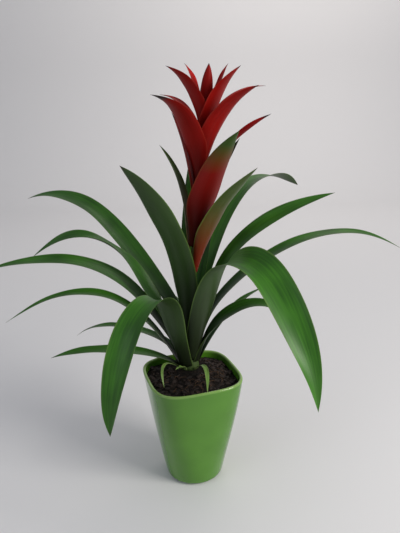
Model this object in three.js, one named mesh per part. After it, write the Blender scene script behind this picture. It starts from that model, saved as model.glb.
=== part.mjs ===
import * as THREE from "three";

// Potted guzmania: a bromeliad with strap leaves and a red flower spike in a glazed cover pot.
// Millimetres, +Z up. The origin is the centre of the pot's underside; -Y faces the viewer.

// Pot
const POT_HEIGHT = 158;
const RIM_HALF_WIDTH = 64.5;
const FOOT_RADIUS = 39;
const FOOT_EDGE_RADIUS = 6;
const WALL = 4;
const POT_FLOOR = 7;
const RIM_SQUARENESS = 3.6;
const POT_TURN = 18;
const WALL_BULGE = 0.8;
const POT_SEGMENTS = 48;

// Potting mix
const MIX_TOP = 157;
const MIX_EDGE = 148;
const MIX_BUMP = 1.6;
const MIX_COLLAR = 18;
const FIT_GAP = 0.3;

// Flower stem
const STUB_RADIUS = 8;
const STUB_DEPTH = 30;
const BASE_RADIUS = 14;
const NECK_RADIUS = 5;
const NECK_HEIGHT = 65;
const STEM_TOP_RADIUS = 3;
const STEM_TOP = 514;
const STEM_SEGMENTS = 20;
const STEM_X = -3;
const STEM_Y = 18;
const STEM_LEAN = 31;
const LEAN_CURVE = 1.3;

// Leaf and bract blades
const BLADE_THICKNESS = 0.9;
const BLADE_STEPS = 14;
const BLADE_STRIPS = 4;
const TIP_WIDTH = 1.4;
const FULL_WIDTH_AT = 0.4;
const MAX_WRAP = 170;
const LEAF_SHAPE = { footShare: 0.75, sheath: 0.3, taper: 4, point: 1, channel: 60, roll: 0 };
const BRACT_SHAPE = { ...LEAF_SHAPE, footShare: 0.4, sheath: 0.5 };

const radians = THREE.MathUtils.degToRad;
const smooth = (t) => THREE.MathUtils.smoothstep(t, 0, 1);

// Value at t (0 to 1) on the line through equally spaced values.
function along(values, t) {
  if (typeof values === "number") return values;
  const s = t * (values.length - 1);
  const i = Math.min(Math.floor(s), values.length - 2);
  return values[i] + (values[i + 1] - values[i]) * (s - i);
}

// One closed body from a grid of rings; a ring of one point closes an end.
function bodyFromRings(rings) {
  const positions = [];
  const starts = [];
  for (const ring of rings) {
    starts.push(positions.length / 3);
    for (const p of ring) positions.push(p.x, p.y, p.z);
  }
  const faces = [];
  for (let i = 0; i + 1 < rings.length; i++) {
    const n = Math.max(rings[i].length, rings[i + 1].length);
    const at = (r, j) => starts[r] + (rings[r].length === 1 ? 0 : j % n);
    for (let j = 0; j < n; j++) {
      if (rings[i].length > 1) faces.push(at(i, j), at(i, j + 1), at(i + 1, j));
      if (rings[i + 1].length > 1) faces.push(at(i, j + 1), at(i + 1, j + 1), at(i + 1, j));
    }
  }
  const geometry = new THREE.BufferGeometry();
  geometry.setAttribute("position", new THREE.Float32BufferAttribute(positions, 3));
  geometry.setIndex(faces);
  geometry.computeVertexNormals();
  return geometry;
}

// Outline of the pot at one height: a circle at the foot, a rounded square at the rim.
function potRing(halfWidth, squareness, z) {
  if (halfWidth === 0) return [new THREE.Vector3(0, 0, z)];
  const ring = [];
  for (let j = 0; j < POT_SEGMENTS; j++) {
    const a = (2 * Math.PI * j) / POT_SEGMENTS;
    const c = Math.abs(Math.cos(a)) ** squareness;
    const s = Math.abs(Math.sin(a)) ** squareness;
    const r = halfWidth * (c + s) ** (-1 / squareness);
    const turned = a + radians(POT_TURN);
    ring.push(new THREE.Vector3(r * Math.cos(turned), r * Math.sin(turned), z));
  }
  return ring;
}

const wallShare = (z) => THREE.MathUtils.clamp(z / POT_HEIGHT, 0, 1);
const squarenessAt = (z) => 2 + (RIM_SQUARENESS - 2) * smooth(wallShare(z));

function outerHalfWidth(z) {
  return FOOT_RADIUS + (RIM_HALF_WIDTH - FOOT_RADIUS) * wallShare(z) ** WALL_BULGE;
}

function makePot() {
  const rings = [potRing(0, 2, 0)];
  rings.push(potRing(FOOT_RADIUS - FOOT_EDGE_RADIUS, 2, 0));
  for (let k = 1; k <= 3; k++) {
    const a = (k / 3) * (Math.PI / 2);
    const z = FOOT_EDGE_RADIUS * (1 - Math.cos(a));
    const r = outerHalfWidth(z) - FOOT_EDGE_RADIUS * (1 - Math.sin(a));
    rings.push(potRing(r, squarenessAt(z), z));
  }
  const wallRows = 9;
  const lipStart = POT_HEIGHT - WALL / 2;
  for (let k = 1; k <= wallRows; k++) {
    const z = FOOT_EDGE_RADIUS + ((lipStart - FOOT_EDGE_RADIUS) * k) / wallRows;
    rings.push(potRing(outerHalfWidth(z), squarenessAt(z), z));
  }
  for (let k = 1; k < 4; k++) {
    const a = (k / 4) * Math.PI;
    const r = outerHalfWidth(lipStart) - (WALL / 2) * (1 - Math.cos(a));
    rings.push(potRing(r, RIM_SQUARENESS, lipStart + (WALL / 2) * Math.sin(a)));
  }
  for (let k = wallRows; k >= 1; k--) {
    const z = POT_FLOOR + ((lipStart - POT_FLOOR) * k) / wallRows;
    rings.push(potRing(outerHalfWidth(z) - WALL, squarenessAt(z), z));
  }
  rings.push(potRing(outerHalfWidth(POT_FLOOR) - WALL, squarenessAt(POT_FLOOR), POT_FLOOR));
  rings.push(potRing(0, 2, POT_FLOOR));
  return bodyFromRings(rings);
}

// The mix fills the pot; its top is uneven and has a plain hole for the stem.
function makePottingMix() {
  const inner = (z) => outerHalfWidth(z) - WALL - FIT_GAP;
  const bottom = POT_FLOOR + FIT_GAP;
  const rings = [potRing(0, 2, bottom)];
  const rows = 5;
  for (let k = 0; k <= rows; k++) {
    const z = bottom + ((MIX_EDGE - bottom) * k) / rows;
    rings.push(potRing(inner(z), squarenessAt(z), z));
  }
  const edge = inner(MIX_EDGE);
  const holeRadius = STUB_RADIUS + FIT_GAP;
  const topRows = 5;
  for (let k = 1; k <= topRows; k++) {
    const share = k / topRows;
    const r = edge + (MIX_COLLAR - edge) * share;
    const z = MIX_EDGE + (MIX_TOP - MIX_EDGE) * smooth(share);
    const ring = potRing(r, RIM_SQUARENESS + (2 - RIM_SQUARENESS) * share, z);
    const bump = share < 1 ? MIX_BUMP : 0;
    for (const p of ring) {
      p.x += STEM_X * share;
      p.y += STEM_Y * share;
      p.z += bump * Math.sin(0.31 * p.x + 1) * Math.cos(0.27 * p.y);
    }
    rings.push(ring);
  }
  const stemFoot = new THREE.Vector3(STEM_X, STEM_Y, 0);
  const hole = (z) => potRing(holeRadius, 2, z).map((p) => p.add(stemFoot));
  rings.push(hole(MIX_TOP), hole(MIX_TOP - STUB_DEPTH - FIT_GAP));
  rings.push([new THREE.Vector3(STEM_X, STEM_Y, MIX_TOP - STUB_DEPTH - FIT_GAP)]);
  return bodyFromRings(rings);
}

// How far the plant has leant to the right at one height; it stands upright in the mix.
function leanAt(z) {
  const share = Math.max(0, (z - MIX_TOP) / (STEM_TOP - MIX_TOP));
  return STEM_LEAN * share ** LEAN_CURVE;
}

const stemX = (z) => STEM_X + leanAt(z);

function stemRadius(z) {
  const above = z - MIX_TOP;
  if (above < NECK_HEIGHT) return BASE_RADIUS + ((NECK_RADIUS - BASE_RADIUS) * above) / NECK_HEIGHT;
  const share = (above - NECK_HEIGHT) / (STEM_TOP - MIX_TOP - NECK_HEIGHT);
  return NECK_RADIUS + (STEM_TOP_RADIUS - NECK_RADIUS) * share;
}

function stemRing(radius, z) {
  if (radius === 0) return [new THREE.Vector3(stemX(z), STEM_Y, z)];
  const ring = [];
  for (let j = 0; j < STEM_SEGMENTS; j++) {
    const a = (2 * Math.PI * j) / STEM_SEGMENTS;
    ring.push(new THREE.Vector3(stemX(z) + radius * Math.cos(a), STEM_Y + radius * Math.sin(a), z));
  }
  return ring;
}

function makeStem() {
  const seat = MIX_TOP + FIT_GAP;
  const rings = [stemRing(0, MIX_TOP - STUB_DEPTH), stemRing(STUB_RADIUS, MIX_TOP - STUB_DEPTH)];
  rings.push(stemRing(STUB_RADIUS, seat));
  const heights = [seat, MIX_TOP + NECK_HEIGHT / 2, MIX_TOP + NECK_HEIGHT];
  for (let k = 1; k <= 8; k++) {
    heights.push(MIX_TOP + NECK_HEIGHT + ((STEM_TOP - MIX_TOP - NECK_HEIGHT) * k) / 8);
  }
  for (const z of heights) rings.push(stemRing(stemRadius(z), z));
  rings.push(stemRing(0, STEM_TOP));
  return bodyFromRings(rings);
}

// A strap blade, given by these values:
// foot: height above the mix at which it leaves the stem.
// heading, rise: the midrib's direction in degrees, seen from above and above level.
// roll: turn of the blade about its midrib; channel: angle its cross-section curves through.
// width: the widest; footShare: part of it at the foot; taper, point: shape of the tip.
// sheath: part of the length over which it opens out from its wrap around the stem.
// Lists of values are spread evenly from foot to tip.
function makeBlade(spec) {
  const footZ = MIX_TOP + spec.foot;
  const bare = stemRadius(footZ) + FIT_GAP;
  const wrap = Math.min(widthAt(spec, 0) / bare, radians(MAX_WRAP));
  const footRadius = bare / Math.cos(wrap / (2 * BLADE_STRIPS)) + BLADE_THICKNESS / 2;
  const start = radians(along(spec.heading, 0));
  const centre = new THREE.Vector3(
    STEM_X + footRadius * Math.cos(start), STEM_Y + footRadius * Math.sin(start), footZ);
  const stepsPerRow = 4;
  const step = spec.length / (BLADE_STEPS * stepsPerRow);
  const rings = [];
  for (let i = 0; i <= BLADE_STEPS; i++) {
    const t = i / BLADE_STEPS;
    rings.push(bladeSection(spec, t, centre, wrap));
    for (let k = 0; k < stepsPerRow; k++) {
      const tMid = Math.min(1, t + (k + 0.5) / (BLADE_STEPS * stepsPerRow));
      centre.addScaledVector(directionAt(spec, tMid), step);
    }
  }
  for (const { inner, outer } of rings) {
    for (const p of [...inner, ...outer]) p.x += leanAt(p.z);
  }
  return bladeBody(rings);
}

function directionAt(spec, t) {
  const heading = radians(along(spec.heading, t));
  const rise = radians(along(spec.rise, t));
  return new THREE.Vector3(
    Math.cos(rise) * Math.cos(heading), Math.cos(rise) * Math.sin(heading), Math.sin(rise));
}

function widthAt(spec, t) {
  const swell = spec.footShare + (1 - spec.footShare) * smooth(t / FULL_WIDTH_AT);
  const taper = (1 - t ** spec.taper) ** spec.point;
  return Math.max(TIP_WIDTH, spec.width * swell * taper);
}

function bladeSection(spec, t, centre, wrap) {
  const heading = radians(along(spec.heading, t));
  const tangent = directionAt(spec, t);
  const rise = radians(along(spec.rise, t));
  const upper = new THREE.Vector3(
    -Math.sin(rise) * Math.cos(heading), -Math.sin(rise) * Math.sin(heading), Math.cos(rise));
  const side = new THREE.Vector3().crossVectors(upper, tangent);
  const roll = radians(along(spec.roll, t));
  const across = side.clone().multiplyScalar(Math.cos(roll)).addScaledVector(upper, Math.sin(roll));
  const normal = upper.clone().multiplyScalar(Math.cos(roll)).addScaledVector(side, -Math.sin(roll));
  const width = widthAt(spec, t);
  const arc = wrap + (radians(spec.channel) - wrap) * smooth(t / spec.sheath);
  const radius = width / arc;
  const faces = { inner: [], outer: [] };
  for (let j = 0; j <= BLADE_STRIPS; j++) {
    const a = arc * (j / BLADE_STRIPS - 0.5);
    const middle = centre.clone().addScaledVector(across, radius * Math.sin(a))
      .addScaledVector(normal, radius * (1 - Math.cos(a)));
    const out = normal.clone().multiplyScalar(Math.cos(a)).addScaledVector(across, -Math.sin(a));
    faces.inner.push(middle.clone().addScaledVector(out, BLADE_THICKNESS / 2));
    faces.outer.push(middle.addScaledVector(out, -BLADE_THICKNESS / 2));
  }
  return faces;
}

// Skins the sections: both faces are split along the same diagonals, then edges and ends.
function bladeBody(sections) {
  const columns = BLADE_STRIPS + 1;
  const positions = [];
  for (const s of sections) {
    for (const p of [...s.inner, ...s.outer]) positions.push(p.x, p.y, p.z);
  }
  const inner = (i, j) => i * 2 * columns + j;
  const outer = (i, j) => inner(i, j) + columns;
  const faces = [];
  const quad = (a, b, c, d) => faces.push(a, b, c, a, c, d);
  const last = sections.length - 1;
  for (let i = 0; i < last; i++) {
    for (let j = 0; j < BLADE_STRIPS; j++) {
      faces.push(inner(i, j), inner(i + 1, j), inner(i + 1, j + 1));
      faces.push(inner(i, j), inner(i + 1, j + 1), inner(i, j + 1));
      faces.push(outer(i, j), outer(i + 1, j + 1), outer(i + 1, j));
      faces.push(outer(i, j), outer(i, j + 1), outer(i + 1, j + 1));
    }
    quad(inner(i, 0), outer(i, 0), outer(i + 1, 0), inner(i + 1, 0));
    const edge = BLADE_STRIPS;
    quad(inner(i, edge), inner(i + 1, edge), outer(i + 1, edge), outer(i, edge));
  }
  for (let j = 0; j < BLADE_STRIPS; j++) {
    quad(inner(0, j), inner(0, j + 1), outer(0, j + 1), outer(0, j));
    quad(inner(last, j + 1), inner(last, j), outer(last, j), outer(last, j + 1));
  }
  const geometry = new THREE.BufferGeometry();
  geometry.setAttribute("position", new THREE.Float32BufferAttribute(positions, 3));
  geometry.setIndex(faces);
  geometry.computeVertexNormals();
  return geometry;
}

// Leaves of the rosette; one with a lower foot lies outside its neighbours.
const LEAVES = [
  { name: "leaf_left_lowest", foot: 2.5, heading: [205, 185, 180], rise: [45, 22, 8, -2, -20],
    roll: [0, -20], length: 190, width: 22 },
  { name: "leaf_back_left_low", foot: 2.5, heading: [130, 150, 150],
    rise: [45, 8, 2, -5, -20, -40], roll: [0, -15], length: 240, width: 16 },
  { name: "leaf_left_low", foot: 4.5, heading: [182, 190],
    rise: [63, 56, 46, 36, 12, -8, -28, -32], roll: [0, -15], length: 295, width: 24,
    footShare: 0.55, point: 1.4 },
  { name: "leaf_back_low", foot: 5, heading: [85, 85], rise: [65, 30, 0, -25, -45], length: 190,
    width: 24, footShare: 0.5 },
  { name: "leaf_front_left", foot: 6, heading: [238, 232],
    rise: [70, 65, 72, 48, -25, -60, -72, -80, -88], roll: [0, 15, -20, -10], length: 330,
    width: 38, footShare: 0.7, taper: 8 },
  { name: "leaf_right_short", foot: 7, heading: [30, 25], rise: [62, 55, 42, 25, 12],
    length: 150, width: 16 },
  { name: "leaf_back_inner_left", foot: 10, heading: [110, 100], rise: [70, 35, 5, -20, -45],
    length: 200, width: 24, footShare: 0.6 },
  { name: "leaf_right_twisted", foot: 12, heading: [-15, -20],
    rise: [78, 70, 52, 35, 15, -30, -45], roll: [0, 30, 0], length: 185, width: 30,
    point: 1.6 },
  { name: "leaf_back_inner_right", foot: 15, heading: [80, 95], rise: [75, 40, 5, -20, -45],
    length: 200, width: 24, footShare: 0.6 },
  { name: "leaf_left_long", foot: 15, heading: [172, 180],
    rise: [65, 55, 50, 35, 15, 0, -8, -20], roll: [0, -20], length: 350, width: 34,
    footShare: 0.65 },
  { name: "leaf_front_right", foot: 16, heading: [-68, -52, -48],
    rise: [72, 72, 72, 55, 5, -40, -52, -62, -80], roll: [0, 0, 25, 40, 10], length: 410,
    width: 42, footShare: 0.75, taper: 7 },
  { name: "leaf_left_folded", foot: 21, heading: [174, 168],
    rise: [70, 62, 58, 57, 35, 12, -30, -40], roll: [0, -15, -20, 20, -40, -40], length: 320,
    width: 27 },
  { name: "leaf_right_low", foot: 22, heading: [8, 4],
    rise: [80, 72, 50, 38, 28, 14, 0, -20, -30], roll: [0, 10], length: 370, width: 30 },
  { name: "leaf_right_long", foot: 33, heading: [-15, 4], rise: [82, 78, 73, 55, 36, 22, 12],
    roll: [0, 30, 55], length: 295, width: 30, footShare: 0.65 },
  { name: "leaf_left_arched", foot: 42.5, heading: [141, 147, 160],
    rise: [70, 45, 41, 41, 36, 20, 3, -20], roll: [0, -15, -20], length: 385, width: 34,
    footShare: 0.65, taper: 7 },
  { name: "leaf_right_arched", foot: 47, heading: [72, 45, 38],
    rise: [80, 75, 66, 58, 38, 10, -12, -30], roll: [0, 15, 20, 0, -40], length: 365,
    width: 34, footShare: 0.65, taper: 7 },
  { name: "leaf_left_upright", foot: 50, heading: [238, 225, 215],
    rise: [85, 82, 72, 62, 55, 50, 40], roll: [0, 30], length: 280, width: 40, footShare: 0.85,
    taper: 6 },
  { name: "leaf_back_right_upright", foot: 54, heading: [60, 40], rise: [82, 78, 74],
    length: 170, width: 20, footShare: 0.5 },
  { name: "leaf_back_left_upright", foot: 61, heading: [125, 118], rise: [86, 84, 83],
    length: 225, width: 28, footShare: 0.5 },
];

// Small leaves at the foot of the rosette, hanging over the mix.
const BASAL_LEAVES = [
  { name: "basal_leaf_left", foot: 0.8, heading: [210, 220, 270, 300], rise: [45, 30, -35, -65],
    length: 70, width: 5 },
  { name: "basal_leaf_front", foot: 1.5, heading: [305, 290, 275, 265], rise: [50, 20, -25, -40],
    length: 80, width: 7 },
  { name: "basal_leaf_left_inner", foot: 1.2, heading: [250, 225], rise: [60, 30, -20],
    length: 30, width: 6 },
];

// Coloured bracts of the flower spike, from the lowest to the bud at the top.
const BRACTS = [
  { name: "bract_right_green", foot: 142, heading: [-50, -46], rise: [75, 70, 65, 50, 45, 40],
    length: 175, width: 38, finish: "bract_green" },
  { name: "bract_left_narrow", foot: 154, heading: [168, 188], rise: [80, 83, 82, 73, 60, 50],
    roll: [0, -35], length: 168, width: 22, footShare: 0.3, finish: "bract_green" },
  { name: "bract_front_broad", foot: 178, heading: [-60, -55], rise: [80, 75, 65, 58, 45],
    length: 168, width: 53, footShare: 0.45, channel: 90 },
  { name: "bract_right_short", foot: 206, heading: [10, 10], rise: [80, 70, 65, 60],
    roll: [0, 30], length: 120, width: 20 },
  { name: "bract_left_edge", foot: 226, heading: [175, 168], rise: [82, 79, 74, 68, 62],
    length: 132, width: 26 },
  { name: "bract_right_narrow", foot: 240, heading: [0, 0], rise: [80, 68, 54, 38, 25],
    roll: [0, 30], length: 138, width: 22 },
  { name: "bract_left_middle", foot: 250, heading: [244, 228], rise: [80, 76, 58, 44, 24, 8],
    length: 170, width: 36 },
  { name: "bract_right_behind", foot: 266, heading: [65, 35], rise: [74, 70, 60, 38, 15, 0],
    length: 186, width: 26 },
  { name: "bract_right_middle", foot: 274, heading: [-44, -40], rise: [80, 76, 56, 36, 20],
    length: 135, width: 42, channel: 80 },
  { name: "bract_left_behind", foot: 280, heading: [140, 160], rise: [80, 80, 63, 36, 5],
    length: 124, width: 26 },
  { name: "bract_right_top", foot: 308, heading: [-40, -25], rise: [80, 80, 72, 55, 40],
    length: 105, width: 38 },
  { name: "bract_left_top", foot: 322, heading: [215, 206], rise: [84, 73, 56, 42, 22],
    length: 103, width: 34 },
  { name: "bract_left_thin", foot: 338, heading: [140, 155], rise: [70, 74, 66, 45], length: 80,
    width: 16 },
  { name: "bract_back_short", foot: 340, heading: [30, 25], rise: [70, 76, 72, 60], length: 72,
    width: 16 },
  { name: "bract_bud", foot: 350, heading: [270, 270], rise: [88, 88], length: 57, width: 38,
    channel: 280 },
];

// Colour and roughness of each finish.
const FINISHES = {
  glazed_green: ["#4f7631", 0.2],
  dark_potting_mix: ["#17120d", 0.95],
  stem_green: ["#3a4a22", 0.5],
  leaf_green: ["#3d6523", 0.35],
  leaf_pale: ["#5d7a3a", 0.4],
  bract_green: ["#46591f", 0.4],
  bract_red: ["#8c1712", 0.4],
};

const group = new THREE.Group();
group.name = "potted_guzmania";

function add(name, geometry, finish) {
  const [color, roughness] = FINISHES[finish];
  const material = new THREE.MeshStandardMaterial({ name: finish, color, roughness, metalness: 0 });
  const mesh = new THREE.Mesh(geometry, material);
  mesh.name = name;
  group.add(mesh);
}

add("pot", makePot(), "glazed_green");
add("potting_mix", makePottingMix(), "dark_potting_mix");
add("flower_stem", makeStem(), "stem_green");
for (const leaf of LEAVES) add(leaf.name, makeBlade({ ...LEAF_SHAPE, ...leaf }), "leaf_green");
for (const leaf of BASAL_LEAVES) add(leaf.name, makeBlade({ ...LEAF_SHAPE, ...leaf }), "leaf_pale");
for (const bract of BRACTS) {
  add(bract.name, makeBlade({ ...BRACT_SHAPE, ...bract }), bract.finish ?? "bract_red");
}

export default group;
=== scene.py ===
# %% [markdown]
# # A potted guzmania
# The plant is a rosette of long strap leaves with a spike of red bracts, in a glazed cover pot.
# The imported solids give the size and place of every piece. Here each one gets a finer surface
# and its real finish. Lengths in the tables are millimetres and angles are degrees.

import bpy
import numpy as np
from mathutils import Matrix, Vector


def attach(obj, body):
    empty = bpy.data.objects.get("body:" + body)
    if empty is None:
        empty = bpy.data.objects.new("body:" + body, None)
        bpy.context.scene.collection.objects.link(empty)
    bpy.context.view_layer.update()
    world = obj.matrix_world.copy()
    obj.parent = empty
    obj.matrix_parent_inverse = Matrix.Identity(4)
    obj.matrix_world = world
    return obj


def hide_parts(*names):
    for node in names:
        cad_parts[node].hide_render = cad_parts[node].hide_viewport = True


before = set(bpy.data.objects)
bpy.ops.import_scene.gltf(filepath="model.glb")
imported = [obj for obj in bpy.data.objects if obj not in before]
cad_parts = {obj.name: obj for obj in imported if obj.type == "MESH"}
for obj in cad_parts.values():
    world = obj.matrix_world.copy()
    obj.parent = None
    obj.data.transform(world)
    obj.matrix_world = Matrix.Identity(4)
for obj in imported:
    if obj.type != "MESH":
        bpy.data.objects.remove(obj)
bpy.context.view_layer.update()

# %% [markdown]
# ## Surfaces from arrays
# A smooth leaf or a pot is a grid of points: rows run one way and columns the other. numpy works
# out the whole grid at once, and one helper turns it into a mesh, so each piece below is only
# its formula. The helper also stores where on the piece each point lies, for the finishes.

# %% Mesh from a grid
MM = 0.001


def smooth(t):
    """0 below 0, 1 above 1, and between them the S-shaped 3t² - 2t³."""
    t = np.clip(t, 0, 1)
    return t * t * (3 - 2 * t)


def ring_faces(rows, columns):
    """Quads of a grid of rings: the last column joins the first."""
    i, j = np.meshgrid(np.arange(rows - 1), np.arange(columns), indexing="ij")
    here, right = i * columns + j, i * columns + (j + 1) % columns
    return np.stack([here, right, right + columns, here + columns], -1).reshape(-1, 4).tolist()


def new_piece(name, points, faces, finish, nodes=(), slot=None, **marks):
    """A mesh piece from millimetres; marks are (points, 3) arrays kept on it for the finish."""
    mesh = bpy.data.meshes.new(name)
    mesh.from_pydata((points * MM).tolist(), [], faces)
    mesh.shade_smooth()
    for mark, values in marks.items():
        layer = mesh.attributes.new(mark, "FLOAT_VECTOR", "POINT")
        layer.data.foreach_set("vector", np.ascontiguousarray(values, np.float32).ravel())
    mesh.materials.append(finish)
    piece = bpy.data.objects.new(name, mesh)
    bpy.context.scene.collection.objects.link(piece)
    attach(piece, "root")
    if nodes:
        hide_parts(*nodes)
    return piece


print("3 rings of 4 points have", len(ring_faces(3, 4)), "quads between them")

# %% [markdown]
# ## Finishes from nodes
# Colours are picked as sRGB hex values, as on a paint chart, and turned into the linear values
# that the shader needs. One helper adds a node with its settings and its links.

# %% Colour and node helpers
def linear(hex_colour):
    """sRGB hex to linear RGBA: c / 12.92 near black, otherwise ((c + 0.055) / 1.055) ^ 2.4."""
    c = np.array([int(hex_colour[i:i + 2], 16) / 255 for i in (1, 3, 5)])
    c = np.where(c <= 0.04045, c / 12.92, ((c + 0.055) / 1.055) ** 2.4)
    return (*c.tolist(), 1.0)


def feed(tree, socket, value):
    """Links a socket, or a node's first output, to a socket; a plain value is set on it."""
    if isinstance(value, bpy.types.Node):
        value = next(output for output in value.outputs if output.enabled)
    if isinstance(value, bpy.types.NodeSocket):
        tree.links.new(value, socket)
    else:
        socket.default_value = value


def add_node(tree, kind, inputs=None, **settings):
    """Adds a node: settings are its own values, and inputs feed its sockets by name or place."""
    node = tree.nodes.new("ShaderNode" + kind)
    for name, value in settings.items():
        setattr(node, name, value)
    for key, value in (inputs or {}).items():
        shown = [socket for socket in node.inputs if socket.enabled]
        socket = shown[key] if isinstance(key, int) else next(x for x in shown if x.name == key)
        feed(tree, socket, value)
    return node


def new_finish(name, **constants):
    """A material with one Principled shader, whose constant sockets are set directly."""
    material = bpy.data.materials.new(name)
    material.use_nodes = True
    shader = material.node_tree.nodes["Principled BSDF"]
    for socket, value in constants.items():
        shader.inputs[socket.replace("_", " ")].default_value = value
    return material, material.node_tree, shader


print("mid grey #808080 is", round(linear("#808080")[0], 3), "in linear light")

# %% [markdown]
# ## The pot
# A slip-cast stoneware cover pot: a round foot that grows into a rounded-square rim. It could be
# turned like a lathe shape, but its outline changes with height, so each height has its own
# superellipse |x|^n + |y|^n = 1, with n from 2, a circle, up to the rim's squareness.

# %% Pot surface
POT_HEIGHT = 158
RIM_HALF_WIDTH = 64.5
FOOT_RADIUS = 39
FOOT_EDGE_RADIUS = 6
WALL = 4
POT_FLOOR = 7
RIM_SQUARENESS = 3.6
POT_TURN = 18
WALL_BULGE = 0.8
FIT_GAP = 0.3
LIP_BAND = 3.5
POT_COLUMNS = 192


def superellipse(half_width, squareness, z, columns=POT_COLUMNS):
    """Rings: radius = half width * (|cos a|^n + |sin a|^n)^(-1/n), turned as the pot is."""
    a = np.linspace(0, 2 * np.pi, columns, endpoint=False)[None]
    w, n, z = (np.atleast_1d(np.asarray(v, float))[:, None] for v in (half_width, squareness, z))
    r = w * (np.abs(np.cos(a)) ** n + np.abs(np.sin(a)) ** n) ** (-1 / n)
    turned = a + np.radians(POT_TURN)
    return np.stack(np.broadcast_arrays(r * np.cos(turned), r * np.sin(turned), z), -1)


def squareness_at(z):
    """2, a circle, at the foot, and the rim's value at the rim."""
    return 2 + (RIM_SQUARENESS - 2) * smooth(np.asarray(z, float) / POT_HEIGHT)


def outer_half_width(z):
    """The outer wall widens as (z / height) to a power a little under 1."""
    share = np.clip(np.asarray(z, float) / POT_HEIGHT, 0, 1)
    return FOOT_RADIUS + (RIM_HALF_WIDTH - FOOT_RADIUS) * share ** WALL_BULGE


def pot_rings():
    """The section's path: from the middle of the foot, up outside, over the lip, down inside."""
    quarter = np.linspace(0, np.pi / 2, 10)
    edge_z = FOOT_EDGE_RADIUS * (1 - np.cos(quarter))
    edge_w = outer_half_width(edge_z) - FOOT_EDGE_RADIUS * (1 - np.sin(quarter))
    lip_z = POT_HEIGHT - WALL / 2
    wall_z = np.linspace(FOOT_EDGE_RADIUS, lip_z, 60)[1:]
    half = np.linspace(0, np.pi, 13)[1:-1]
    lip_w = outer_half_width(lip_z) - WALL / 2 * (1 - np.cos(half))
    inner_z = np.linspace(lip_z, POT_FLOOR, 40)
    floor_w = (outer_half_width(POT_FLOOR) - WALL) * np.array([0.7, 0.4, 0.02])
    w = np.concatenate([edge_w[0] * np.array([0.02, 0.4, 0.8]), edge_w, outer_half_width(wall_z),
                        lip_w, outer_half_width(inner_z) - WALL, floor_w])
    z = np.concatenate([np.zeros(3), edge_z, wall_z, lip_z + WALL / 2 * np.sin(half), inner_z,
                        np.full(3, POT_FLOOR)])
    return superellipse(w, squareness_at(z), z)


def closed_by_ends(rings):
    """Points and faces of a grid of rings whose first and last ring are closed by a face."""
    rows, columns = rings.shape[:2]
    first = list(range(columns))[::-1]
    last = list(range((rows - 1) * columns, rows * columns))
    return rings.reshape(-1, 3), ring_faces(rows, columns) + [first, last]


print("pot section:", len(pot_rings()), "rings of", POT_COLUMNS, "points")

# %% [markdown]
# The glaze is a glossy green one over a pale clay: glass-smooth, with an IOR of about 1.5. It
# runs thin over the lip, so the rim looks lighter. Clouds about 40 mm wide vary its green, and
# a very low ripple, 25 mm wide, breaks up long reflections as the brushed-on glaze does.

# %% Glazed pot
def glossy_glaze():
    """Green from soft clouds, lighter over the lip, under a smooth glassy coat."""
    material, tree, shader = new_finish("glossy_green_glaze", Roughness=0.07, IOR=1.55)
    place = add_node(tree, "TexCoord").outputs["Object"]
    clouds = add_node(tree, "TexNoise", {"Vector": place, "Scale": 25.0, "Detail": 2.0})
    body = add_node(tree, "Mix", {"Factor": clouds, "A": linear("#427317"),
                                  "B": linear("#548a25")}, data_type="RGBA")
    height = add_node(tree, "SeparateXYZ", {0: place}).outputs["Z"]
    lip = add_node(tree, "MapRange", {"Value": height, "From Min": (POT_HEIGHT - LIP_BAND) * MM,
                                      "From Max": POT_HEIGHT * MM})
    colour = add_node(tree, "Mix", {"Factor": lip, "A": body, "B": linear("#83a558")},
                      data_type="RGBA")
    ripple = add_node(tree, "TexNoise", {"Vector": place, "Scale": 40.0, "Detail": 1.0})
    bump = add_node(tree, "Bump", {"Strength": 0.3, "Distance": 0.5 * MM, "Height": ripple})
    feed(tree, shader.inputs["Base Color"], colour)
    feed(tree, shader.inputs["Normal"], bump)
    return material


pot = new_piece("glazed_pot", *closed_by_ends(pot_rings()), glossy_glaze(), ["pot"],
                "glazed_green")
print("pot:", len(pot.data.polygons), "faces")

# %% [markdown]
# ## The potting mix
# A coarse mix of peat, bark chips and fibres. Its surface could be a flat disc with a bump
# texture, but from above its crumbs show against the rim, so it is a real relief: lumps from
# 9 mm down to 2 mm, as layers of smooth noise worked out on the grid.

# %% Potting mix surface
MIX_TOP = 157
MIX_EDGE = 148
MIX_COLLAR = 18
STUB_RADIUS = 8
HOLE_DEPTH = 8
STEM_X = -3
STEM_Y = 18
CRUMBS = [(9, 2.6), (4.5, 1.6), (2.2, 1.0)]  # cell size and height of each layer, mm


def noise(x, y, cell, seed):
    """Smooth noise from -1 to 1: random values on a square lattice, blended inside each cell."""
    values = np.random.default_rng(seed).uniform(-1, 1, (256, 256))
    u, v = np.asarray(x) / cell, np.asarray(y) / cell
    i, j = np.floor(u).astype(int), np.floor(v).astype(int)
    a, b = smooth(u - i), smooth(v - j)
    low = values[i % 256, j % 256] * (1 - a) + values[(i + 1) % 256, j % 256] * a
    high = values[i % 256, (j + 1) % 256] * (1 - a) + values[(i + 1) % 256, (j + 1) % 256] * a
    return low * (1 - b) + high * b


def mix_top(share, columns=POT_COLUMNS):
    """Rings of the top: share 0 at the pot's wall, 1 at the plant. The mix is mounded there."""
    share = np.atleast_1d(np.asarray(share, float))
    edge = outer_half_width(MIX_EDGE) - WALL - FIT_GAP
    rings = superellipse(edge + (MIX_COLLAR - edge) * share,
                         RIM_SQUARENESS + (2 - RIM_SQUARENESS) * share,
                         MIX_EDGE + (MIX_TOP - MIX_EDGE) * smooth(share), columns)
    rings[..., 0] += STEM_X * share[:, None]
    rings[..., 1] += STEM_Y * share[:, None]
    return rings


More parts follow.
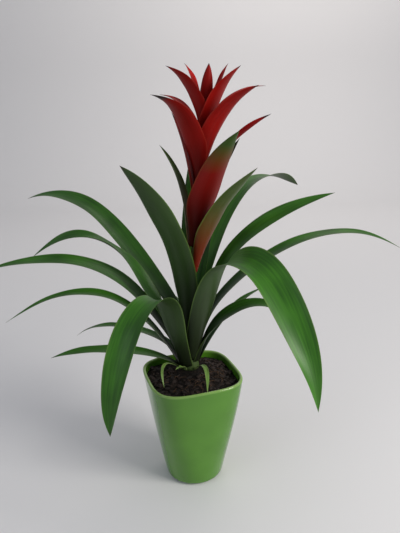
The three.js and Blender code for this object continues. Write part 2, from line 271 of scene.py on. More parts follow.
def crumbled(points, fade=1.0):
    """Lifts or sinks points by the layers of crumbs."""
    lift = sum(high * noise(points[..., 0], points[..., 1], cell, 7 + k)
               for k, (cell, high) in enumerate(CRUMBS))
    points[..., 2] += lift * fade
    return points


def mix_rings():
    """Up the pot's inner wall from its floor, then over the mounded top to the stem's hole."""
    wall_z = np.linspace(POT_FLOOR + FIT_GAP, MIX_EDGE, 8)
    wall_w = outer_half_width(wall_z) - WALL - FIT_GAP
    wall = superellipse(np.r_[0.5, wall_w], np.r_[2, squareness_at(wall_z)],
                        np.r_[wall_z[0], wall_z])
    share = np.linspace(0, 1, 90)[1:]
    top = crumbled(mix_top(share), (smooth(share * 8) * smooth((1 - share) * 6))[:, None])
    hole = superellipse(np.full(3, STUB_RADIUS + FIT_GAP), 2,
                        [MIX_TOP, MIX_TOP - HOLE_DEPTH / 2, MIX_TOP - HOLE_DEPTH])
    hole[..., :2] += (STEM_X, STEM_Y)
    return np.concatenate([wall, top, hole])


print("mix section:", len(mix_rings()), "rings of", POT_COLUMNS, "points")

# %% [markdown]
# Damp peat is nearly black-brown and matt, with reddish fibres and paler crumbs in it. The
# patches are 6 mm and the specks 1.5 mm wide, as the crumbs of such a mix are.

# %% Potting mix and its finish
PATCH_SIZE = 6 * MM
SPECK_SIZE = 1.5 * MM


def damp_peat(name, dark, light, speck):
    """Dark patches, paler crumbs and fine specks, all matt."""
    material, tree, shader = new_finish(name, Roughness=0.9, IOR=1.4, Specular_IOR_Level=0.3)
    place = add_node(tree, "TexCoord").outputs["Object"]
    patches = add_node(tree, "TexNoise", {"Vector": place, "Scale": 1 / PATCH_SIZE, "Detail": 3.0})
    specks = add_node(tree, "TexNoise", {"Vector": place, "Scale": 1 / SPECK_SIZE, "Detail": 2.0})
    patchy = add_node(tree, "MapRange", {"Value": patches, "From Min": 0.4, "From Max": 0.65})
    body = add_node(tree, "Mix", {"Factor": patchy, "A": linear(dark), "B": linear(light)},
                    data_type="RGBA")
    specky = add_node(tree, "MapRange", {"Value": specks, "From Min": 0.62, "From Max": 0.72,
                                         "To Max": 0.7})
    colour = add_node(tree, "Mix", {"Factor": specky, "A": body, "B": linear(speck)},
                      data_type="RGBA")
    bump = add_node(tree, "Bump", {"Strength": 0.8, "Distance": 1.0 * MM, "Height": specks})
    feed(tree, shader.inputs["Base Color"], colour)
    feed(tree, shader.inputs["Normal"], bump)
    return material


peat = damp_peat("damp_peat", "#0a0705", "#18110c", "#43352a")
mix = new_piece("potting_mix_surface", *closed_by_ends(mix_rings()), peat, ["potting_mix"],
                "dark_potting_mix")
print("potting mix:", len(mix.data.polygons), "faces")

# %% [markdown]
# Bark chips lie on the peat. Each is a flat six-sided flake with uneven corners, tilted at
# random and half sunk. All of them are one mesh: the flake's corners times every chip's
# own turn, size and place, as arrays.

# %% Bark chips
CHIPS = 420
CHIP_SIZE = (2.5, 6.5)
CHIP_SLIMNESS = (0.35, 0.9)
CHIP_RAGGEDNESS = (0.55, 1.0)
CHIP_HALF_THICKNESS = (0.4, 1.0)
CHIP_TILT = 0.7  # radians
CHIP_CORNERS = 6
BARK_GRAIN = 1.0 * MM


def places_on_mix(count, seed, columns=720):
    """Random points of the crumbled top, away from the wall and from the plant's foot."""
    draw = np.random.default_rng(seed)
    share = 1 - np.sqrt(draw.uniform(0.02, 0.9, count))
    rings = crumbled(mix_top(share, columns))
    return rings[np.arange(count), draw.integers(0, columns, count)], draw


def random_turns(draw, count, tilt):
    """Turn matrices: a tilt of up to `tilt` radians about a level line, then any turn about Z."""
    a = draw.uniform(0, 2 * np.pi, count)
    b = draw.uniform(-tilt, tilt, count)
    cos_a, sin_a, cos_b, sin_b = np.cos(a), np.sin(a), np.cos(b), np.sin(b)
    zero = np.zeros(count)
    return np.array([[cos_a, -sin_a * cos_b, sin_a * sin_b],
                     [sin_a, cos_a * cos_b, -cos_a * sin_b],
                     [zero, sin_b, cos_b]]).transpose(2, 0, 1)


def bark_chips():
    """Corner = place + turn * (size * outline, thickness), for both faces of every flake."""
    places, draw = places_on_mix(CHIPS, 11)
    turns = random_turns(draw, CHIPS, CHIP_TILT)
    a = np.linspace(0, 2 * np.pi, CHIP_CORNERS, endpoint=False)
    radius = draw.uniform(*CHIP_RAGGEDNESS, (CHIPS, CHIP_CORNERS))
    size = draw.uniform(*CHIP_SIZE, CHIPS)[:, None]
    slim = draw.uniform(*CHIP_SLIMNESS, CHIPS)[:, None]
    x, y = size * radius * np.cos(a), size * slim * radius * np.sin(a)
    thick = draw.uniform(*CHIP_HALF_THICKNESS, CHIPS)[:, None] * np.ones_like(x)
    flat = np.concatenate([np.stack([x, y, -thick], -1), np.stack([x, y, thick], -1)], 1)
    points = np.einsum("cij,cpj->cpi", turns, flat) + places[:, None]
    n = CHIP_CORNERS
    one = ([list(range(n))[::-1], list(range(n, 2 * n))]
           + [[j, (j + 1) % n, n + (j + 1) % n, n + j] for j in range(n)])
    faces = [[corner + 2 * n * k for corner in face] for k in range(CHIPS) for face in one]
    tone = np.repeat(draw.uniform(0, 1, (CHIPS, 3)), 2 * n, axis=0)
    return points.reshape(-1, 3), faces, tone


def bark():
    """Brown to reddish bark: each chip has its own tone, with grain 1 mm wide."""
    material, tree, shader = new_finish("pine_bark", Roughness=0.8, IOR=1.45)
    tone = add_node(tree, "SeparateXYZ", {0: add_node(
        tree, "Attribute", attribute_name="tone").outputs["Vector"]})
    place = add_node(tree, "TexCoord").outputs["Object"]
    grain = add_node(tree, "TexNoise", {"Vector": place, "Scale": 1 / BARK_GRAIN, "Detail": 2.0})
    body = add_node(tree, "Mix", {"Factor": tone.outputs["X"], "A": linear("#100a07"),
                                  "B": linear("#33221a")}, data_type="RGBA")
    colour = add_node(tree, "Mix", {"Factor": grain, "A": body, "B": linear("#1a110c")},
                      data_type="RGBA")
    bump = add_node(tree, "Bump", {"Strength": 0.5, "Distance": 0.4 * MM, "Height": grain})
    feed(tree, shader.inputs["Base Color"], colour)
    feed(tree, shader.inputs["Normal"], bump)
    return material


points, faces, tone = bark_chips()
chips = new_piece("bark_chips", points, faces, bark(), slot="dark_potting_mix", tone=tone)
chips.data.shade_flat()
print("bark chips:", CHIPS)

# %% [markdown]
# Fine roots and coir fibres lie on the mix. Each is a thin bent tube with four sides. It starts
# in the crumbs, rises in a low arch and goes back in, and it tapers towards its far end.

# %% Fibres
FIBRES = 150
FIBRE_RADIUS = 0.35
FIBRE_LENGTH = (7, 22)
FIBRE_BEND = 1.6  # radians
FIBRE_LIFT = 0.8
FIBRE_ARCH = 1.5
FIBRE_STEPS = 9
PLANT_CLEARANCE = 20
RIM_CLEARANCE = 50


def fibres():
    """Path: steps along (cos, sin)(start + bend * s), with s from 0 to 1; then a tube."""
    places, draw = places_on_mix(FIBRES, 23)
    s = np.linspace(0, 1, FIBRE_STEPS)[None]
    length = draw.uniform(*FIBRE_LENGTH, FIBRES)[:, None]
    start = draw.uniform(0, 2 * np.pi, FIBRES)[:, None]
    bend = draw.uniform(-FIBRE_BEND, FIBRE_BEND, FIBRES)[:, None]
    angle = start + bend * s
    step = length / (FIBRE_STEPS - 1)
    x = places[:, :1] + np.cumsum(np.cos(angle), 1) * step
    y = places[:, 1:2] + np.cumsum(np.sin(angle), 1) * step
    out = np.hypot(x - STEM_X, y - STEM_Y)
    arch = np.sin(np.pi * s)
    z = places[:, 2:] + FIBRE_LIFT + FIBRE_ARCH * arch - FIBRE_ARCH * (1 - arch)
    a = np.arange(4) * np.pi / 2
    side = np.stack([-np.sin(angle), np.cos(angle)], -1)[:, :, None]
    thin = FIBRE_RADIUS * (1 - 0.6 * s)[..., None, None]
    ring_xy = side * (thin * np.cos(a)[:, None])
    ring_z = thin[..., 0] * np.sin(a) * np.ones((FIBRES, 1, 1))
    points = np.concatenate([np.stack([x, y], -1)[:, :, None] + ring_xy,
                             (z[:, :, None] + ring_z)[..., None]], -1)
    kept = (out > PLANT_CLEARANCE).all(1) & (np.hypot(x, y) < RIM_CLEARANCE).all(1)
    points = points[kept]
    one = np.array(ring_faces(FIBRE_STEPS, 4))
    ends = [[3, 2, 1, 0], [4 * FIBRE_STEPS - 4 + k for k in range(4)]]
    one = np.concatenate([one, ends])
    faces = (one[None] + (4 * FIBRE_STEPS * np.arange(len(points)))[:, None, None])
    tone = np.repeat(draw.uniform(0.4, 1, (len(points), 3)), 4 * FIBRE_STEPS, axis=0)
    return points.reshape(-1, 3), faces.reshape(-1, 4).tolist(), tone


points, faces, tone = fibres()
coir = damp_peat("coir_fibre", "#4a3626", "#6a503a", "#8a6f55")
new_piece("mix_fibres", points, faces, coir, slot="dark_potting_mix", tone=tone)
print("fibres:", len(faces) // (4 * FIBRE_STEPS - 2))

# %% [markdown]
# ## Leaf tissue
# A bromeliad's leaf is a stiff strap under a clear waxy cuticle. Its green lies under the wax,
# so the colour is soft while the wax gives a broad sheen: roughness 0.4 to 0.5, IOR 1.45. Fine
# parallel veins run its whole length. They are under 1 mm apart, too fine for the picture, so
# they are drawn 2.5 mm apart. The marks on the mesh say how far along (blade x), how far across
# (blade y) and on which face (blade z) a point lies, so the pattern follows the strap.

# %% Leaf and bract finish
VEIN_GAP = 2.5 * MM
VEIN_RUN = 60 * MM
CLOUD_SIZE = 45 * MM


def waxy_strap(name, body, light, under, base, edge, tip, fade=0.05, **constants):
    """Strap colours from foot to tip by the marks blade, strap and tone, with a painted brightness
    for its light.
    """
    material, tree, shader = new_finish(name, IOR=1.45, **constants)
    blade = add_node(tree, "SeparateXYZ", {0: add_node(
        tree, "Attribute", attribute_name="blade").outputs["Vector"]})
    tone = add_node(tree, "SeparateXYZ", {0: add_node(
        tree, "Attribute", attribute_name="tone").outputs["Vector"]})
    strap = add_node(tree, "Attribute", attribute_name="strap").outputs["Vector"]
    along, across, face = (blade.outputs[k] for k in "XYZ")
    streaks = add_node(tree, "VectorMath", {0: strap, 1: (1 / VEIN_GAP, 1 / VEIN_RUN, 1)},
                       operation="MULTIPLY")
    veins = add_node(tree, "TexNoise", {"Vector": streaks, "Scale": 1.0, "Detail": 2.0})
    clouds = add_node(tree, "TexNoise", {"Vector": strap, "Scale": 1 / CLOUD_SIZE, "Detail": 1.0})
    both = add_node(tree, "Math", {0: veins, 1: clouds}, operation="ADD")
    share = add_node(tree, "MapRange", {"Value": both, "From Min": 0.75, "From Max": 1.25})
    colour = add_node(tree, "Mix", {"Factor": share, "A": linear(body), "B": linear(light)},
                      data_type="RGBA")
    below = add_node(tree, "Math", {0: face, 1: 0.8}, operation="MULTIPLY")
    colour = add_node(tree, "Mix", {"Factor": below, "A": colour, "B": linear(under)},
                      data_type="RGBA")
    near_foot = add_node(tree, "MapRange", {"Value": along, "From Min": tone.outputs["Y"],
                                            "From Max": 0.02, "To Max": 0.9},
                         interpolation_type="SMOOTHSTEP")
    colour = add_node(tree, "Mix", {"Factor": near_foot, "A": colour, "B": linear(base)},
                      data_type="RGBA")
    rim = add_node(tree, "MapRange", {"Value": add_node(tree, "Math", {0: across},
                                                        operation="ABSOLUTE"),
                                      "From Min": 0.9, "From Max": 1.0, "To Max": 0.7})
    colour = add_node(tree, "Mix", {"Factor": rim, "A": colour, "B": linear(edge)},
                      data_type="RGBA")
    lead = add_node(tree, "Math", {0: along, 1: tone.outputs["Z"]}, operation="SUBTRACT")
    dried = add_node(tree, "MapRange", {"Value": lead, "From Min": 0.0, "From Max": fade})
    colour = add_node(tree, "Mix", {"Factor": dried, "A": colour, "B": linear(tip)},
                      data_type="RGBA")
    # Painted light: tone x makes each strap's whole colour brighter or darker for the light it
    # gets.
    lit = add_node(tree, "HueSaturation", {"Color": colour, "Value": tone.outputs["X"]})
    bump = add_node(tree, "Bump", {"Strength": 0.35, "Distance": 0.35 * MM, "Height": veins})
    feed(tree, shader.inputs["Base Color"], lit)
    feed(tree, shader.inputs["Normal"], bump)
    return material


leaf_tissue = waxy_strap("waxy_leaf", body="#214a0c", light="#346716", under="#2b3a1c",
                         base="#161a10", edge="#5a7434", tip="#2a1e14", Roughness=0.42,
                         Specular_IOR_Level=0.35)
pale_tissue = waxy_strap("pale_young_leaf", body="#5a7d33", light="#7c9a4c", under="#7f9757",
                         base="#6f7d4a", edge="#93a765", tip="#6b5a34", Roughness=0.45)
red_tissue = waxy_strap("waxy_red_bract", body="#8a0804", light="#ba1208", under="#7d0d08",
                        base="#4a0f0b", edge="#8e2a1e", tip="#241613", Roughness=0.5,
                        Specular_IOR_Level=0.15)
print("tissues:", leaf_tissue.name, pale_tissue.name, red_tissue.name)

# %% [markdown]
# ## The flower stem
# The stem is hidden by leaf bases low down and shows between the bracts higher up. It is a
# plain tapering tube: rings about a line that leans to the right as it rises.

# %% Stem surface
STUB_DEPTH = 30
BASE_RADIUS = 14
NECK_RADIUS = 5
NECK_HEIGHT = 65
STEM_TOP_RADIUS = 3
STEM_TOP = 514
STEM_LEAN = 31
LEAN_CURVE = 1.3
RED_STARTS = 0.30  # metres above the foot, as RED_FULL
RED_FULL = 0.42


def lean_at(z):
    """How far the plant has leant to the right: a power of the height above the mix."""
    return STEM_LEAN * np.clip((z - MIX_TOP) / (STEM_TOP - MIX_TOP), 0, None) ** LEAN_CURVE


def stem_radius(z):
    """Straight lines between the base, the neck and the top."""
    return np.interp(z - MIX_TOP, [0, NECK_HEIGHT, STEM_TOP - MIX_TOP],
                     [BASE_RADIUS, NECK_RADIUS, STEM_TOP_RADIUS])


def stem_rings(columns=32):
    """A round stub in the mix, then the tapering stem up to a small dome."""
    z = np.r_[[MIX_TOP - STUB_DEPTH] * 2, MIX_TOP + FIT_GAP,
              np.linspace(MIX_TOP + FIT_GAP, STEM_TOP - 2, 90), STEM_TOP - 1, STEM_TOP]
    r = np.r_[0.3, STUB_RADIUS, STUB_RADIUS, stem_radius(z[3:-2]), 2.2, 0.3]
    a = np.linspace(0, 2 * np.pi, columns, endpoint=False)
    x = STEM_X + lean_at(z)[:, None] + r[:, None] * np.cos(a)
    y = STEM_Y + r[:, None] * np.sin(a)
    return np.stack(np.broadcast_arrays(x, y, z[:, None]), -1)


def stem_skin():
    """Green low down, turning red along the lower half of the spike, with long fibres."""
    material, tree, shader = new_finish("green_stem_skin", Roughness=0.5, IOR=1.45)
    place = add_node(tree, "TexCoord").outputs["Object"]
    height = add_node(tree, "SeparateXYZ", {0: place}).outputs["Z"]
    long = add_node(tree, "VectorMath", {0: place, 1: (1, 1, 0.06)}, operation="MULTIPLY")
    lines = add_node(tree, "TexNoise", {"Vector": long, "Scale": 1 / (1.5 * MM)})
    green = add_node(tree, "Mix", {"Factor": lines, "A": linear("#2c3a1b"),
                                   "B": linear("#4a5f2c")}, data_type="RGBA")
    up = add_node(tree, "MapRange", {"Value": height, "From Min": RED_STARTS,
                                     "From Max": RED_FULL})
    colour = add_node(tree, "Mix", {"Factor": up, "A": green, "B": linear("#7c1a14")},
                      data_type="RGBA")
    bump = add_node(tree, "Bump", {"Strength": 0.4, "Distance": 0.3 * MM, "Height": lines})
    feed(tree, shader.inputs["Base Color"], colour)
    feed(tree, shader.inputs["Normal"], bump)
    return material


stem = new_piece("flower_stem_skin", *closed_by_ends(stem_rings()), stem_skin(),
                 ["flower_stem"], "stem_green")
print("stem:", len(stem.data.polygons), "faces")

# %% [markdown]
# ## The strap
# Every leaf and bract is the same surface with other numbers. Its midrib starts on the stem and
# follows a heading, seen from above, and a rise above level, both given from foot to tip. Across
# the midrib lies an arc: at the foot it is wrapped round the stem, and it opens out into a
# shallow channel. Two parameters, t along and an angle q around the section, give every point:
# half the loop is the upper face and half is the lower one, so the strap is closed and thin.

# %% Strap surface
BLADE_THICKNESS = 0.9
POINT_WIDTH = 0.5
FULL_WIDTH_AT = 0.4
MAX_WRAP = 170
STRAP_ROWS = 110
STRAP_COLUMNS = 44
ROW_CROWDING = 1.3
KNOT_BLEND = 0.35
TIP_THINNING = 0.7
EDGE_ROUNDNESS = 0.7
EDGE_WAVE = 0.8
WAVE_PHASE = 0.37
WAVE_SKEW = 0.2


def spread(values, t):
    """Values spread evenly from foot to tip, read at t and averaged over a little either side."""
    values = np.atleast_1d(np.asarray(values, float))
    knots = np.linspace(0, 1, len(values))
    reach = KNOT_BLEND / max(len(values) - 1, 1)
    near = [np.interp(np.clip(t + d, 0, 1), knots, values) for d in np.linspace(-reach, reach, 7)]
    return np.mean(near, 0)


def strap_rings(foot, heading, rise, length, width, roll=0, foot_share=0.75, sheath=0.3,
                taper=4, point=1, channel=60, waves=3, seed=0):
    """Point = midrib + across * R sin a + normal * R (1 - cos a), and half a thickness out."""
    fine = np.linspace(0, 1, 8 * STRAP_ROWS + 1)
    t = 1 - (1 - np.linspace(0, 1, STRAP_ROWS)) ** ROW_CROWDING

    def direction(t):
        """Heading, rise and the unit tangent (cos e cos h, cos e sin h, sin e)."""
        h, e = np.radians(spread(heading, t)), np.radians(spread(rise, t))
        return h, e, np.stack([np.cos(e) * np.cos(h), np.cos(e) * np.sin(h), np.sin(e)], -1)

    def width_at(t):
        """Swells from the foot, then narrows as (1 - t^taper)^point."""
        swell = foot_share + (1 - foot_share) * smooth(t / FULL_WIDTH_AT)
        return np.maximum(POINT_WIDTH, width * swell * (1 - t ** taper) ** point)

    z = MIX_TOP + foot
    bare = stem_radius(z) + FIT_GAP
    wrap = min(width_at(np.zeros(1))[0] / bare, np.radians(MAX_WRAP))
    start = np.radians(np.atleast_1d(heading)[0])
    ring = bare / np.cos(wrap / 8) + BLADE_THICKNESS / 2
    centre = np.array([STEM_X + ring * np.cos(start), STEM_Y + ring * np.sin(start), z])
    middle = (fine[1:] + fine[:-1]) / 2
    path = np.vstack([np.zeros(3), np.cumsum(direction(middle)[2], 0)]) * length / (len(fine) - 1)
    rib = centre + np.stack([np.interp(t, fine, path[:, k]) for k in range(3)], -1)

    h, e, tangent = direction(t)
    upper = np.stack([-np.sin(e) * np.cos(h), -np.sin(e) * np.sin(h), np.cos(e)], -1)
    side = np.cross(upper, tangent)
    r = np.radians(spread(roll, t))[:, None]
    across = (side * np.cos(r) + upper * np.sin(r))[:, None]
    normal = (upper * np.cos(r) - side * np.sin(r))[:, None]

    q = np.linspace(0, 2 * np.pi, STRAP_COLUMNS, endpoint=False)
    s = -np.cos(q)[None]
    arc = wrap + (np.radians(spread(channel, t)) - wrap) * smooth(t / sheath)
    w = width_at(t)
    radius = (w / arc)[:, None, None]
    a = (arc[:, None] * s / 2)[..., None]
    thick = BLADE_THICKNESS / 2 * (1 - TIP_THINNING * t ** 6)[:, None]
    out = (thick * np.sign(np.sin(q)) * np.abs(np.sin(q)) ** EDGE_ROUNDNESS)[..., None]
    turns = waves * t[:, None] + WAVE_PHASE * seed + WAVE_SKEW * s
    wave = EDGE_WAVE * np.sin(2 * np.pi * turns)
    wave = wave * np.abs(s) ** 3 * smooth(t * 3 - 1)[:, None] * (w / width)[:, None]
    points = (rib[:, None] + across * radius * np.sin(a) + normal * radius * (1 - np.cos(a))
              + (normal * np.cos(a) - across * np.sin(a)) * out + normal * wave[..., None])
    points[..., 0] += lean_at(points[..., 2])

    rows = np.ones_like(points[..., 0])
    blade = np.stack([rows * t[:, None], rows * s, rows * (np.sin(q) < 0)], -1)
    strap = np.stack([rows * s * width / 2, rows * t[:, None] * length, rows * 1000 * seed], -1)
    return points, blade, strap * MM


def strap_faces():
    """The loop's quads, with both ends closed by quads between the two faces."""
    last, n = (STRAP_ROWS - 1) * STRAP_COLUMNS, STRAP_COLUMNS
    faces = ring_faces(STRAP_ROWS, n)
    for j in range(1, n // 2 - 1):
        faces.append([n - j, n - j - 1, j + 1, j])
        faces.append([last + j, last + j + 1, last + n - j - 1, last + n - j])
    faces += [[n - 1, 1, 0], [n // 2, n // 2 - 1, n // 2 + 1]]
    faces += [[last, last + 1, last + n - 1], [last + n // 2 + 1, last + n // 2 - 1, last + n // 2]]
    return faces


STRAP_FACES = strap_faces()


def add_straps(table, painted_light_and_tones, tissue, slot, **shape):
    """One strap for each row of a table; a tone is (painted brightness for its light, reach of
    base, start of tip).
    """
    for seed, (node, values) in enumerate(table.items()):
        points, blade, strap = strap_rings(seed=seed, **{**shape, **values})
        tone = np.ones(blade.shape) * painted_light_and_tones.get(node, painted_light_and_tones["other"])
        flat = [part.reshape(-1, 3) for part in (points, blade, strap, tone)]
        new_piece(node + "_strap", flat[0], STRAP_FACES, tissue, [node], slot,
                  blade=flat[1], strap=flat[2], tone=flat[3])
    print("straps in", slot, ":", len(table), "of", len(STRAP_FACES), "faces")


# %% [markdown]
# ## The rosette
# Nineteen leaves grow from the short stem, each with its own curve: the lower ones lie out flat,
# the upper ones stand and bend over. A leaf further out has a lower foot. Their numbers are
# those of the solids, so each leaf lies where its solid does.

# %% Leaf table
LEAVES = {
    "leaf_left_lowest": dict(foot=2.5, heading=[205, 185, 180], rise=[45, 22, 8, -2, -20],
        roll=[0, -20], length=190, width=22),
    "leaf_back_left_low": dict(foot=2.5, heading=[130, 150, 150],
        rise=[45, 8, 2, -5, -20, -40], roll=[0, -15], length=240, width=16),
    "leaf_left_low": dict(foot=4.5, heading=[182, 190],
        rise=[63, 56, 46, 36, 12, -8, -28, -32], roll=[0, -15], length=295, width=24,
        foot_share=0.55, point=1.4),
    "leaf_back_low": dict(foot=5, heading=[85, 85], rise=[65, 30, 0, -25, -45], length=190,
        width=24, foot_share=0.5),
    "leaf_front_left": dict(foot=6, heading=[238, 232],
        rise=[70, 65, 72, 48, -25, -60, -72, -80, -88], roll=[0, 15, -20, -10], length=330,
        width=38, foot_share=0.7, taper=8),
    "leaf_right_short": dict(foot=7, heading=[30, 25], rise=[62, 55, 42, 25, 12], length=150,
        width=16),
    "leaf_back_inner_left": dict(foot=10, heading=[110, 100], rise=[70, 35, 5, -20, -45],
        length=200, width=24, foot_share=0.6),
    "leaf_right_twisted": dict(foot=12, heading=[-15, -20],
        rise=[78, 70, 52, 35, 15, -30, -45], roll=[0, 30, 0], length=185, width=30, point=1.6),
    "leaf_back_inner_right": dict(foot=15, heading=[80, 95], rise=[75, 40, 5, -20, -45],
        length=200, width=24, foot_share=0.6),
    "leaf_left_long": dict(foot=15, heading=[172, 180], rise=[65, 55, 50, 35, 15, 0, -8, -20],
        roll=[0, -20], length=350, width=34, foot_share=0.65),
    "leaf_front_right": dict(foot=16, heading=[-68, -52, -48],
        rise=[72, 72, 72, 55, 5, -40, -52, -62, -80], roll=[0, 0, 25, 40, 10], length=410,
        width=42, foot_share=0.75, taper=7),
    "leaf_left_folded": dict(foot=21, heading=[174, 168],
        rise=[70, 62, 58, 57, 35, 12, -30, -40], roll=[0, -15, -20, 20, -40, -40], length=320,
        width=27),
    "leaf_right_low": dict(foot=22, heading=[8, 4],
        rise=[80, 72, 50, 38, 28, 14, 0, -20, -30], roll=[0, 10], length=370, width=30),
    "leaf_right_long": dict(foot=33, heading=[-15, 4], rise=[82, 78, 73, 55, 36, 22, 12],
        roll=[0, 30, 55], length=295, width=30, foot_share=0.65),
    "leaf_left_arched": dict(foot=42.5, heading=[141, 147, 160],
        rise=[70, 45, 41, 41, 36, 20, 3, -20], roll=[0, -15, -20], length=385, width=34,
        foot_share=0.65, taper=7),
    "leaf_right_arched": dict(foot=47, heading=[72, 45, 38],
        rise=[80, 75, 66, 58, 38, 10, -12, -30], roll=[0, 15, 20, 0, -40], length=365,
        width=34, foot_share=0.65, taper=7),
    "leaf_left_upright": dict(foot=50, heading=[238, 225, 215],
        rise=[85, 82, 72, 62, 55, 50, 40], roll=[0, 30], length=280, width=40,
        foot_share=0.85, taper=6),
    "leaf_back_right_upright": dict(foot=54, heading=[60, 40], rise=[82, 78, 74], length=170,
        width=20, foot_share=0.5),
    "leaf_back_left_upright": dict(foot=61, heading=[125, 118], rise=[86, 84, 83], length=225,
        width=28, foot_share=0.5),
}

# %% [markdown]
# A tone is a leaf's painted brightness, how far its dark foot reaches and where its dried tip
# starts, the last two as shares of its length. The brightness is painted light: leaves in the best
# light are painted a little brighter, and shaded ones darker.

# %% Leaves
LEAF_PAINTED_LIGHT_AND_TONES = {
    "other": (1.0, 0.4, 0.97),
    "leaf_front_right": (1.2, 0.45, 0.98),
    "leaf_front_left": (1.1, 0.35, 0.97),
    "leaf_back_left_upright": (1.5, 0.2, 0.98),
    "leaf_right_long": (1.0, 0.3, 0.97),
    "leaf_left_upright": (1.1, 0.5, 0.96),
    "leaf_left_folded": (0.95, 0.35, 0.97),
    "leaf_right_twisted": (0.85, 0.5, 0.9),
}
add_straps(LEAVES, LEAF_PAINTED_LIGHT_AND_TONES, leaf_tissue, "leaf_green")

# %% [markdown]
# A few small young leaves come out at the foot of the rosette and hang over the mix. They are
# paler and softer than the big ones.

# %% Small leaves at the foot
BASAL_LEAVES = {
    "basal_leaf_left": dict(foot=0.8, heading=[210, 220, 270, 300], rise=[45, 30, -35, -65],
        length=70, width=5),
    "basal_leaf_front": dict(foot=1.5, heading=[305, 290, 275, 265], rise=[50, 20, -25, -40],
        length=80, width=7),
    "basal_leaf_left_inner": dict(foot=1.2, heading=[250, 225], rise=[60, 30, -20], length=30,
        width=6),
}
add_straps(BASAL_LEAVES, {"other": (1.0, 0.1, 0.97)}, pale_tissue, "leaf_pale")

# %% [markdown]
# ## The flower spike
# The bracts are leaves that turn red towards the top. The lowest are green with a red base, the
# middle ones red with green tips, and the top ones are red all over with thin dark tips.

# %% Bract table
BRACTS = {
    "bract_right_green": dict(foot=142, heading=[-50, -46], rise=[75, 70, 65, 50, 45, 40],
        length=175, width=38),
    "bract_left_narrow": dict(foot=154, heading=[168, 188], rise=[80, 83, 82, 73, 60, 50],
        roll=[0, -35], length=168, width=22, foot_share=0.3),
    "bract_front_broad": dict(foot=178, heading=[-60, -55], rise=[80, 75, 65, 58, 45],
        length=168, width=53, foot_share=0.45, channel=90),
    "bract_right_short": dict(foot=206, heading=[10, 10], rise=[80, 70, 65, 60], roll=[0, 30],
        length=120, width=20),
    "bract_left_edge": dict(foot=226, heading=[175, 168], rise=[82, 79, 74, 68, 62],
        length=132, width=26),
    "bract_right_narrow": dict(foot=240, heading=[0, 0], rise=[80, 68, 54, 38, 25],
        roll=[0, 30], length=138, width=22),
    "bract_left_middle": dict(foot=250, heading=[244, 228], rise=[80, 76, 58, 44, 24, 8],
        length=170, width=36),
    "bract_right_behind": dict(foot=266, heading=[65, 35], rise=[74, 70, 60, 38, 15, 0],
        length=186, width=26),
    "bract_right_middle": dict(foot=274, heading=[-44, -40], rise=[80, 76, 56, 36, 20],
        length=135, width=42, channel=80),
    "bract_left_behind": dict(foot=280, heading=[140, 160], rise=[80, 80, 63, 36, 5],
        length=124, width=26),
    "bract_right_top": dict(foot=308, heading=[-40, -25], rise=[80, 80, 72, 55, 40],
        length=105, width=38),
    "bract_left_top": dict(foot=322, heading=[215, 206], rise=[84, 73, 56, 42, 22],
        length=103, width=34),
    "bract_left_thin": dict(foot=338, heading=[140, 155], rise=[70, 74, 66, 45], length=80,
        width=16),
    "bract_back_short": dict(foot=340, heading=[30, 25], rise=[70, 76, 72, 60], length=72,
        width=16),
    "bract_bud": dict(foot=350, heading=[270, 270], rise=[88, 88], length=57, width=38,
        channel=280),
}

# %% [markdown]
# The two lowest bracts are green, and the red of their foot fades out over about three quarters
# of the length. Two others are red and turn green over a quarter of theirs.

# %% Bracts
turning_tissue = waxy_strap("red_to_green_bract", body="#2b4414", light="#41591c",
                            under="#3a4a1e", base="#700f0a", edge="#66803c", tip="#241613",
                            Roughness=0.45, Specular_IOR_Level=0.3)
green_tipped_tissue = waxy_strap("green_tipped_red_bract", body="#7c0a06", light="#960d06",
                                 under="#6e0f0a", base="#4a0f0b", edge="#7e3a20",
                                 tip="#33491a", fade=0.25, Roughness=0.5,
                                 Specular_IOR_Level=0.2)
BRACT_SHAPE = dict(foot_share=0.4, sheath=0.5, waves=2)
# The first value of a bract's tone is painted light: bracts in more light are painted brighter, and
# shaded ones darker.
BRACT_PAINTED_LIGHT_AND_TONES = {
    "other": (1.0, 0.5, 0.94),
    "bract_right_green": (1.15, 0.75, 0.97),
    "bract_left_narrow": (1.0, 0.8, 0.97),
    "bract_front_broad": (1.0, 0.5, 0.62),
    "bract_right_short": (0.9, 0.4, 0.4),
    "bract_left_edge": (0.75, 0.6, 0.9),
    "bract_left_middle": (0.95, 0.5, 0.85),
    "bract_right_narrow": (0.8, 0.5, 0.9),
}
GREEN_BRACTS = ("bract_right_green", "bract_left_narrow")
TIPPED_BRACTS = ("bract_front_broad", "bract_right_short")
green = {name: values for name, values in BRACTS.items() if name in GREEN_BRACTS}
tipped = {name: values for name, values in BRACTS.items() if name in TIPPED_BRACTS}
red = {name: values for name, values in BRACTS.items()
       if name not in GREEN_BRACTS + TIPPED_BRACTS}
add_straps(red, BRACT_PAINTED_LIGHT_AND_TONES, red_tissue, "bract_red", **BRACT_SHAPE)
add_straps(tipped, BRACT_PAINTED_LIGHT_AND_TONES, green_tipped_tissue, "bract_red", **BRACT_SHAPE)
add_straps(green, BRACT_PAINTED_LIGHT_AND_TONES, turning_tissue, "bract_green", **BRACT_SHAPE)

# %% [markdown]
# ## Stage, light and camera
# A pale sweep: a floor that curves up into a backdrop, as in a photo studio. It is a profile
# of line, arc and line carried sideways.

# %% Floor and backdrop
REACH = 4500
BACK_PLACE = 3200
BACK_BEND = 900
BACK_TOP = 4000
FLOOR_DROP = 0.2


def sweep_points():
    """Profile (y, z): flat floor, a quarter circle, then the backdrop, carried along x."""
    turn = np.linspace(0, np.pi / 2, 16)
    y = np.r_[-REACH, BACK_PLACE - BACK_BEND * (1 - np.sin(turn)), BACK_PLACE]
    z = np.r_[0, BACK_BEND * (1 - np.cos(turn)), BACK_TOP] - FLOOR_DROP
    x = np.linspace(-REACH, REACH, 2)
    return np.stack(np.broadcast_arrays(x[None], y[:, None], z[:, None]), -1)


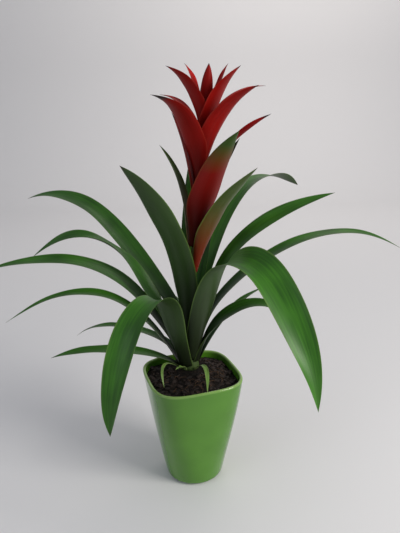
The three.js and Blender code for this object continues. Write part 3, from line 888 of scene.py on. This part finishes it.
sweep = sweep_points()
rows = len(sweep)
mesh = bpy.data.meshes.new("sweep")
mesh.from_pydata((sweep.reshape(-1, 3) * MM).tolist(), [],
                 [[2 * i, 2 * i + 1, 2 * i + 3, 2 * i + 2] for i in range(rows - 1)])
mesh.shade_smooth()
paper, paper_tree, paper_shader = new_finish("matt_white_paper", Roughness=0.8,
                                             Base_Color=linear("#dad9da"))
mesh.materials.append(paper)
floor = bpy.data.objects.new("sweep", mesh)
bpy.context.scene.collection.objects.link(floor)
print("floor and backdrop:", rows - 1, "strips")

# %% [markdown]
# The light is soft daylight from the right, in front of the plant and a little above it, with
# weak light from the left and from pale surroundings. One more lamp, behind and above the
# plant, faces the backdrop.

# %% Lights
WORLD_STRENGTH = 0.45


def window(name, place, size, watts, colour, target=(0, 0, 0.25)):
    """A square area lamp that faces the target."""
    lamp = bpy.data.lights.new(name, "AREA")
    lamp.size, lamp.energy, lamp.color = size, watts, linear(colour)[:3]
    light = bpy.data.objects.new(name, lamp)
    light.location = place
    light.rotation_euler = (Vector(target) - Vector(place)).to_track_quat("-Z", "Y").to_euler()
    bpy.context.scene.collection.objects.link(light)


window("window_right", (1.25, -0.75, 0.95), 0.7, 22, "#fffbf5")
window("window_left", (-1.3, -0.9, 0.9), 1.0, 4, "#f2f6ff")
window("wall_wash", (0.8, 1.5, 2.4), 1.6, 34, "#fff8f0", target=(0.2, 3.2, 0.9))
world = bpy.data.worlds.new("pale_surroundings")
world.use_nodes = True
world.node_tree.nodes["Background"].inputs["Color"].default_value = linear("#e2e7f0")
world.node_tree.nodes["Background"].inputs["Strength"].default_value = WORLD_STRENGTH
bpy.context.scene.world = world
bpy.context.scene.view_settings.view_transform = "Standard"
print("lamps:", len(bpy.data.lights))

# %% [markdown]
# The camera stands a little above the plant's middle and looks down by 16 degrees. Its place and
# its slight roll were worked out from the pot's outline in the photograph.

# %% Camera
CAMERA_PLACE = (0.016, -0.66, 0.5005)
LENS = 35
PITCH = np.radians(16)
ROLL = np.radians(-1.6)
forward = Vector((0, np.cos(PITCH), -np.sin(PITCH)))
level_up = Vector((0, np.sin(PITCH), np.cos(PITCH)))
right = Vector((np.cos(ROLL), 0, 0)) + level_up * np.sin(ROLL)
up = right.cross(forward)
lens = bpy.data.cameras.new("camera")
lens.lens = LENS
camera = bpy.data.objects.new("camera", lens)
camera.matrix_world = Matrix.Translation(CAMERA_PLACE) @ Matrix(
    (right, up, -forward)).transposed().to_4x4()
bpy.context.scene.collection.objects.link(camera)
bpy.context.scene.camera = camera
print("camera at", CAMERA_PLACE, "with a", LENS, "mm lens")
